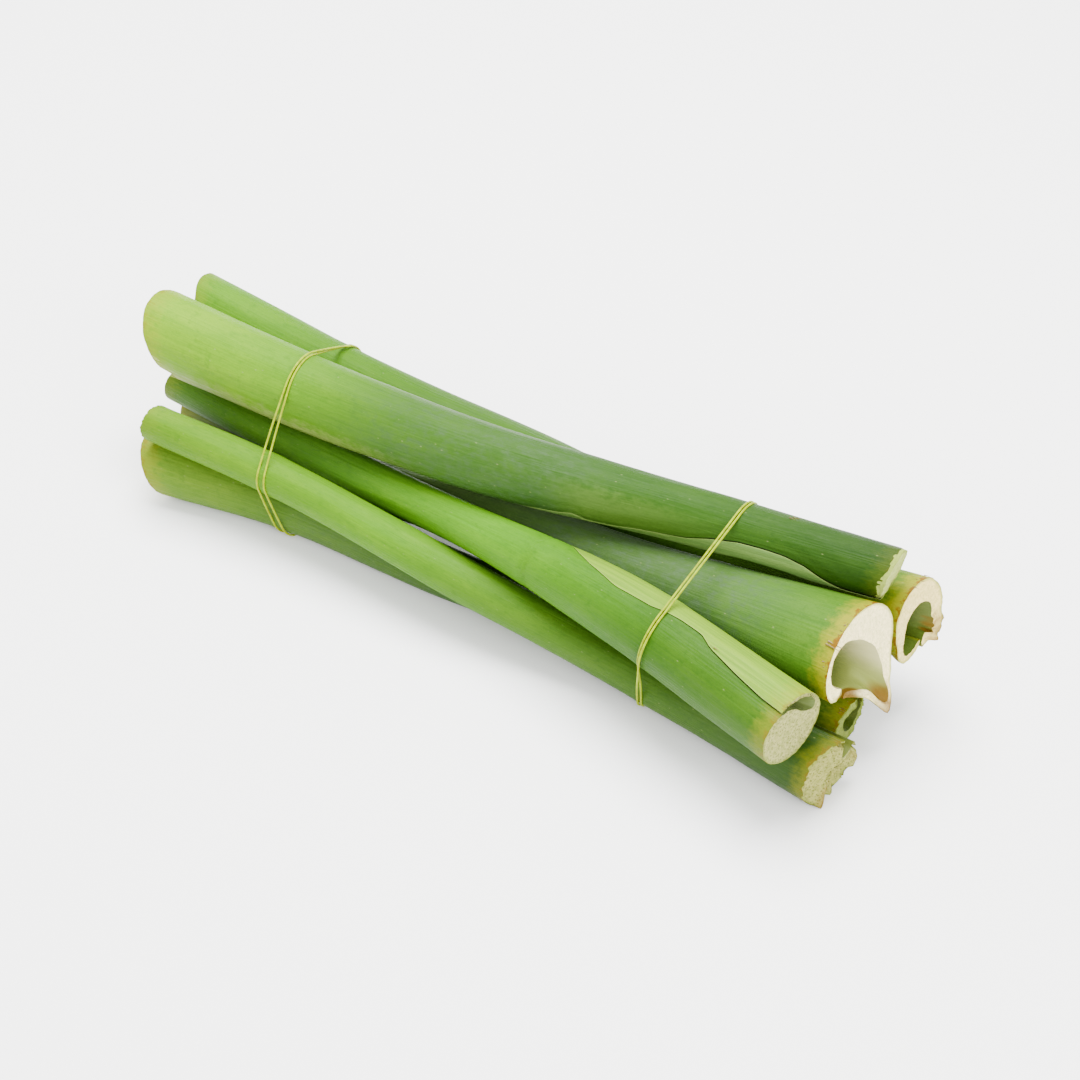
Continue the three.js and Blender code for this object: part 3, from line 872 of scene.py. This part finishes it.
def hollow_colour_with_painted_shade(r, look, grain, cut_away):
    """The inside of a sheath: olive at its bottom, and darkened further in from the cut by painted shade."""
    low = r.band(r.part(grain, 2), -14.5, -8, 0.85, 0)
    near_cut = r.mix(low, look["hollow"], r.tinted(look["hollow"], (0.42, 0.55, 0.15)))
    # painted shade: from 1 to 24 mm away from the cut the hollow turns dark, as less light reaches in
    return r.mix(r.band(cut_away, 1, 24), near_cut, r.tinted(look["hollow"], (0.16, 0.22, 0.09)))


def dried(r, look, at_right, cut_away, inside, patches, colour):
    """Skin that turns yellow and then brown towards a cut."""
    torn = r.math("ADD", cut_away, r.band(patches, 0.3, 0.7, -2.6, 3.2))
    browned = r.band(at_right, 0, 1, *look["brown"])
    browned = r.math("MULTIPLY", browned, r.math("SUBTRACT", 1.0, inside))
    colour = r.mix(r.math("MULTIPLY", r.band(torn, 2, 13, 0.85, 0), browned), colour, YELLOWED)
    return r.mix(r.math("MULTIPLY", r.band(torn, 0.2, 2.2, 0.95, 0), browned), colour, RUST)


def flesh_colour(r, look, at_right, pores):
    """Spongy cream flesh with darker pores, partly their own tone and partly painted shade in their holes,
    greener just under the skin.
    """
    sponge = r.noise(r.place_in_mm(), 0.5, 7.0, 0.75)
    cream = r.mix(at_right, LEFT_FLESH, look["flesh"])
    shade = r.tinted(cream, (0.62, 0.68, 0.5))
    colour = r.mix(r.band(r.attribute("depth"), 0.3, 2.0), r.mix(0.5, shade, FLESH_RIM), cream)
    pored = look.get("pored", 0.25)
    colour = r.mix(r.band(sponge, 0.4, 0.6, 0.5 + 0.5 * pored, 0), colour, shade)
    # the darker pore cells are partly the flesh's own tone and partly painted shade in the holes
    return r.mix(r.band(pores, 0.15, 0.5, pored, 0), colour, r.tinted(shade, (0.45, 0.5, 0.4)))


def skin_material(name, look):
    """Waxy green skin that turns to cream flesh where the stalk is cut."""
    r = Recipe("skin_" + name)
    grain = r.attribute("grain", "Vector")
    inside, cut_away, bare = (r.attribute(key) for key in ("inside", "cut_away", "bare"))
    at_right = r.band(r.part(grain, 0), -1, 1)
    streaks = r.noise(r.stretched(grain, (0.02, 1, 1)), 1.1, 4.0, 0.6)
    pores = r.cells(r.place_in_mm(), 0.75)
    colour, patches = skin_colour(r, look, grain, streaks)
    if "wing" in look:
        shaded = r.tinted(look["wing"], (0.62, 0.72, 0.7))
        colour = r.mix(r.attribute("wing"), colour, r.mix(r.band(streaks, 0.35, 0.7), look["wing"], shaded))
    for strip in look.get("strips", []):
        colour = pale_strip(r, strip, grain, patches, colour)
    # painted highlight along the wings' free edges, over their paler tone
    colour = r.mix(r.math("MULTIPLY", r.attribute("pale_edge_highlight"), 0.6), colour, PALE_EDGE_HIGHLIGHT)
    colour = r.mix(inside, colour, hollow_colour_with_painted_shade(r, look, grain, cut_away))
    colour = dried(r, look, at_right, cut_away, inside, patches, colour)
    colour = r.mix(r.band(bare, 0.2, 0.5), colour, flesh_colour(r, look, at_right, pores))
    colour = r.mix(r.math("MULTIPLY", r.attribute("dry"), 0.9), colour, RUST)
    rough = r.math("MAXIMUM", r.band(streaks, 0.3, 0.75, 0.38, 0.55), r.math("MULTIPLY", bare, 0.8))
    normal = r.bump(streaks, 0.0008, 0.5)
    normal = r.bump(patches, 0.0006, 0.35, normal)
    normal = r.bump(r.math("MULTIPLY", pores, bare), 0.0006, 0.6, normal)
    return r.finish(Base_Color=colour, Roughness=rough, Normal=normal, Specular_IOR_Level=SHEEN)


def rubber_material():
    """Greenish yellow rubber, a little glossy and slightly uneven."""
    r = Recipe("rubber")
    specks = r.noise(r.place_in_mm(), 0.5, 4.0, 0.6)
    colour = r.mix(r.band(specks, 0.3, 0.7), (0.25, 0.34, 0.0003), (0.17, 0.2, 0.0003))
    return r.finish(
        Base_Color=colour, Roughness=r.band(specks, 0.3, 0.7, 0.32, 0.48), Normal=r.bump(specks, 0.0002, 0.3),
        Specular_IOR_Level=0.08)


def fibre_material():
    """Dry straw-coloured fibres."""
    r = Recipe("fibre")
    tone = r.noise(r.place_in_mm(), 0.7, 3.0)
    colour = r.mix(r.band(tone, 0.35, 0.65), (0.14, 0.11, 0.012), (0.1, 0.045, 0.008))
    return r.finish(Base_Color=colour, Roughness=0.6)


def floor_material():
    """Plain and pale, with a faint unevenness of tone."""
    r = Recipe("floor")
    tone = r.noise(r.node("ShaderNodeTexCoord", {}).outputs["Object"], 3.0, 2.0)
    return r.finish(Base_Color=r.mix(tone, (0.86, 0.86, 0.86), (0.88, 0.88, 0.87)), Roughness=0.9)


# ---- the object

LOWEST = np.array(CAD_BOX[0]) / MM + BOX_MARGIN
HIGHEST = np.array(CAD_BOX[1]) / MM - BOX_MARGIN


def add_stalks():
    for number, (name, stalk) in enumerate(STALKS.items()):
        piece = stalk_object("fine_" + name, stalk, 100 + number)
        piece.data.materials.append(skin_material(name, LOOKS[name]))
        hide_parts(name)
        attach(piece, "root")


def add_bands():
    group = strand_nodes()
    rubber = rubber_material()
    for name, band in BANDS.items():
        route = strand_route(band)
        count = len(route)
        edges = [(i, (i + 1) % count) for i in range(count)]
        piece = grown("fine_" + name, route, edges, group, {
            "Radius": 0.5 * STRAND * MM, "Sides": 12, "Material": rubber})
        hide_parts(name)
        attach(piece, "root")


# Torn fibres: the stalk, the torn edge's first and last x in mm and angle, how many, and their
# length and thickness in mm
TORN = [
    ("stalk_middle", 196.5, 198, 128, 134, 2, 8.0, 0.55),
    ("stalk_middle", 198, 200, 150, 156, 2, 7.0, 0.5),
    ("stalk_middle", 200, 202, 95, 120, 5, 3.0, 0.25),
    ("stalk_back", 204, 207.5, 20, 150, 10, 2.5, 0.22),
    ("stalk_low_front", 196, 201, 190, 250, 6, 3.0, 0.25),
    ("stalk_bottom", 195, 197.5, 60, 170, 8, 2.5, 0.22),
    ("stalk_top", 147, 150, 66, 84, 3, 4.5, 0.3),
    ("stalk_front", 150, 153, 92, 99, 3, 3.0, 0.22),
]


def add_fibres():
    group = fibre_nodes()
    fibre = fibre_material()
    for number, tear in enumerate(TORN):
        name, first_x, last_x, first_angle, last_angle, count, length, thickness = tear
        stalk = STALKS[name]
        xs = CHANCE.uniform(first_x, last_x, count)
        angles = np.radians(CHANCE.uniform(first_angle, last_angle, count))
        places = Places(stalk["route"], xs)
        flat = np.stack([places.wide * np.cos(angles), places.high * np.sin(angles)], -1) * FIT
        points = places.ring_points(flat[:, None])[:, 0]
        piece = grown(f"fibres_{number}", points, [], group, {
            "Length": length * MM, "Thickness": thickness * MM, "Spread": 0.3, "Seed": number,
            "Material": fibre})
        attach(piece, "root")


def add_floor():
    half = 3.0
    corners = [(-half, -half, 0), (half, -half, 0), (half, half, 0), (-half, half, 0)]
    mesh = bpy.data.meshes.new("floor")
    mesh.from_pydata(corners, [], [(0, 1, 2, 3)])
    mesh.materials.append(floor_material())
    floor = linked("floor", mesh)


def add_light(name, place, size, power):
    """A round soft light that faces the object."""
    lamp = bpy.data.lights.new(name, "AREA")
    lamp.shape = "DISK"
    lamp.size = size
    lamp.energy = power
    light = linked(name, lamp)
    light.location = place
    light.rotation_euler = (-Vector(place)).to_track_quat("-Z", "Y").to_euler()


def add_lighting():
    add_light("above", (-0.25, 0.3, 1.6), 1.3, 120)
    add_light("front", (0.9, -1.4, 1.1), 1.2, 20)
    add_light("right", (1.6, -0.5, 0.8), 1.1, 34)
    world = bpy.data.worlds.new("studio")
    world.use_nodes = True
    background = world.node_tree.nodes["Background"]
    background.inputs["Color"].default_value = (1, 1, 1, 1)
    background.inputs["Strength"].default_value = 2.0
    bpy.context.scene.world = world


def add_camera():
    """The main view: from the front right and above, at the thick ends."""
    azimuth, elevation = math.radians(35), math.radians(40)
    target = Vector((33, -3, 48)) * MM
    distance = 1.3
    level = math.cos(elevation)
    back = Vector((math.sin(azimuth) * level, -math.cos(azimuth) * level, math.sin(elevation)))
    lens = bpy.data.cameras.new("camera")
    lens.lens = 91.87
    lens.sensor_width = 36
    camera = linked("camera", lens)
    camera.location = target + back * distance
    camera.rotation_euler = back.to_track_quat("Z", "Y").to_euler()
    bpy.context.scene.camera = camera


add_camera()
add_stalks()
add_bands()
add_fibres()
add_floor()
add_lighting()
